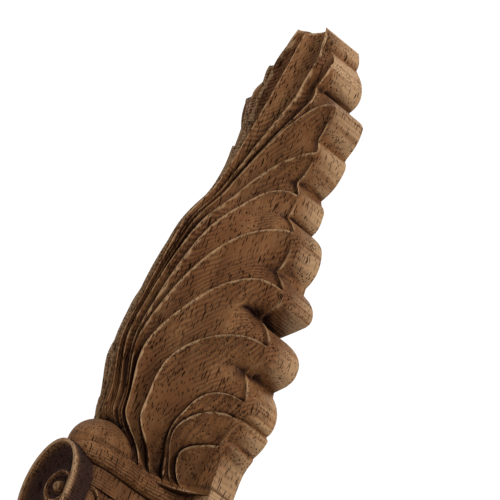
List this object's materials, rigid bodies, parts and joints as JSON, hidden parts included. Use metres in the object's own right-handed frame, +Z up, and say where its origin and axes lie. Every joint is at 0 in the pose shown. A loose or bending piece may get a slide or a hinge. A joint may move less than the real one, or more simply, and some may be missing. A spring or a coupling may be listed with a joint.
{
  "type": "wood applique",
  "caption": "Carved wood applique: a tall acanthus leaf rising from a banded column-head capital with eggs, darts and a volute, flat at the back to be fixed to furniture.",
  "frame": {"origin": "centre of the flat back, at the middle of its height", "axes": "+Z up along the leaf, from the capital to the tip, -Y out of the carved front, +X to the right seen from the front"},
  "size_m": [0.0536, 0.04, 0.1687],
  "materials": {
    "wood": "unfinished, with milling marks and open pores"
  },
  "bodies": {
    "root": {"carved_applique": "wood"}
  },
  "joints": []
}
